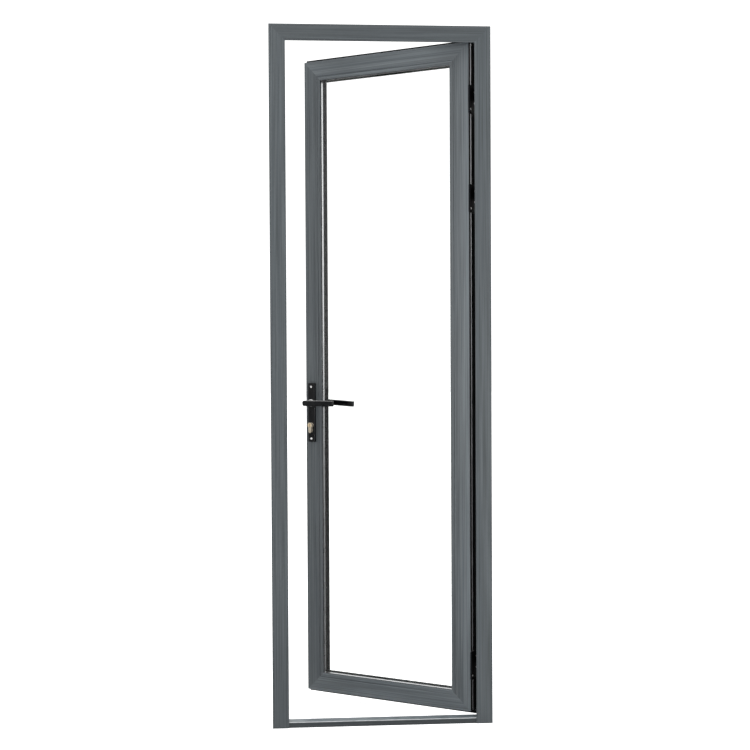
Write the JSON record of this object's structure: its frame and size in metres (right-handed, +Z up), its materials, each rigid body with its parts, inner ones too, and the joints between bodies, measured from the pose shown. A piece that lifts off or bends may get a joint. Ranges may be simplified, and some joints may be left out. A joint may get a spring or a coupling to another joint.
{
  "type": "glazed hinged door",
  "caption": "Single-leaf glazed door in grey powder-coated aluminium, with its frame, low threshold, black lever handles, lock and black hinges; opens outwards.",
  "frame": {"origin": "on the floor under the middle of the frame: halfway between the jambs' outer faces and halfway through the frame's depth", "axes": "+Z up; +X towards the hinge side; +Y through the wall towards the side the leaf opens to"},
  "size_m": [0.664, 0.4115, 2.1],
  "materials": {
    "powder_coat_frame": "satin grey powder coat, faint long streaks",
    "powder_coat_leaf": "satin grey powder coat, faint long streaks",
    "clear_glass": "clear float glass",
    "black_hardware": "satin black lacquer",
    "black_steel": "blackened steel",
    "steel": "zinc-plated, satin",
    "mill_aluminium": "mill",
    "spacer_aluminium": "bright roll-formed",
    "black_rubber": "matte",
    "block_plastic": "matte",
    "black_plastic": "matte",
    "brush_fibre": "fine upright fibres",
    "cylinder_brass": "nickel-washed brass, satin"
  },
  "bodies": {
    "frame": {"frame_jamb_lock_side": "powder_coat_frame", "frame_jamb_hinge_side": "powder_coat_frame", "frame_head": "powder_coat_frame", "threshold": "powder_coat_frame", "threshold_screws": "steel", "frame_corner_cleats": "mill_aluminium", "frame_stop_gasket": "black_rubber", "strike_plate": "steel", "strike_screws": "steel", "hinge_upper_frame_half": "black_hardware", "hinge_middle_frame_half": "black_hardware", "hinge_lower_frame_half": "black_hardware", "hinge_pins": "steel", "hinge_frame_screws": "steel"},
    "leaf": {"leaf_stile_lock_side": "powder_coat_leaf", "leaf_stile_hinge_side": "powder_coat_leaf", "leaf_rail_top": "powder_coat_leaf", "leaf_rail_bottom": "powder_coat_leaf", "leaf_corner_cleats": "mill_aluminium", "glazing_bead_lock_side": "powder_coat_leaf", "glazing_bead_hinge_side": "powder_coat_leaf", "glazing_bead_top": "powder_coat_leaf", "glazing_bead_bottom": "powder_coat_leaf", "glass_pane_inside": "clear_glass", "glass_pane_outside": "clear_glass", "glass_spacer": "spacer_aluminium", "glass_edge_seal": "black_rubber", "glazing_gasket_inside": "black_rubber", "glazing_gasket_outside": "black_rubber", "glazing_setting_blocks": "block_plastic", "leaf_lip_gasket": "black_rubber", "leaf_edge_gasket": "black_rubber", "leaf_inner_gasket": "black_rubber", "leaf_edge_trim": "mill_aluminium", "bottom_brush_carrier": "black_plastic", "bottom_brush": "brush_fibre", "lock_case": "steel", "lock_faceplate": "steel", "lock_faceplate_screws": "steel", "key_cylinder_body": "cylinder_brass", "key_cylinder_screw": "steel", "backplate_inside": "black_hardware", "backplate_outside": "black_hardware", "backplate_screws": "steel", "lever_collars": "steel", "hinge_upper_leaf_half": "black_hardware", "hinge_middle_leaf_half": "black_hardware", "hinge_lower_leaf_half": "black_hardware", "hinge_leaf_screws": "steel"},
    "levers": {"lever_inside": "black_hardware", "lever_outside": "black_hardware", "lever_spindle": "steel", "lever_grub_screws": "black_steel", "lock_follower": "steel"},
    "latch": {"latch_bolt": "steel"},
    "deadbolt": {"deadbolt": "steel"},
    "key_plug": {"key_plug_inside": "cylinder_brass", "key_plug_outside": "cylinder_brass", "key_cam": "steel"}
  },
  "joints": [
    {"name": "leaf_hinge", "type": "hinge", "parent": "frame", "child": "leaf", "pos_m": [0.314, 0.03, 1], "axis": [0, 0, -1], "range_deg": [-32.8, 57.2]},
    {"name": "lever_turn", "type": "hinge", "parent": "leaf", "child": "levers", "pos_m": [-0.18803, 0.32261, 0.962], "axis": [0.5417, 0.8406, 0], "range_deg": [0, 40], "stiffness_Nm_per_rad": 1.5, "springref_deg": -28.65},
    {"name": "latch_slide", "type": "slide", "parent": "leaf", "child": "latch", "axis": [0.8406, -0.5417, 0], "range_m": [0, 0.011]},
    {"name": "key_turn", "type": "hinge", "parent": "leaf", "child": "key_plug", "pos_m": [-0.18803, 0.32261, 0.89], "axis": [-0.5417, -0.8406, 0], "range_deg": [0, 360]},
    {"name": "deadbolt_slide", "type": "slide", "parent": "leaf", "child": "deadbolt", "axis": [-0.8406, 0.5417, 0], "range_m": [0, 0.02]}
  ],
  "couplings": [
    {"joint": "latch_slide", "follows": "lever_turn", "m_per_rad": 0.01575},
    {"joint": "key_turn", "follows": "deadbolt_slide", "rad_per_m": 314}
  ]
}
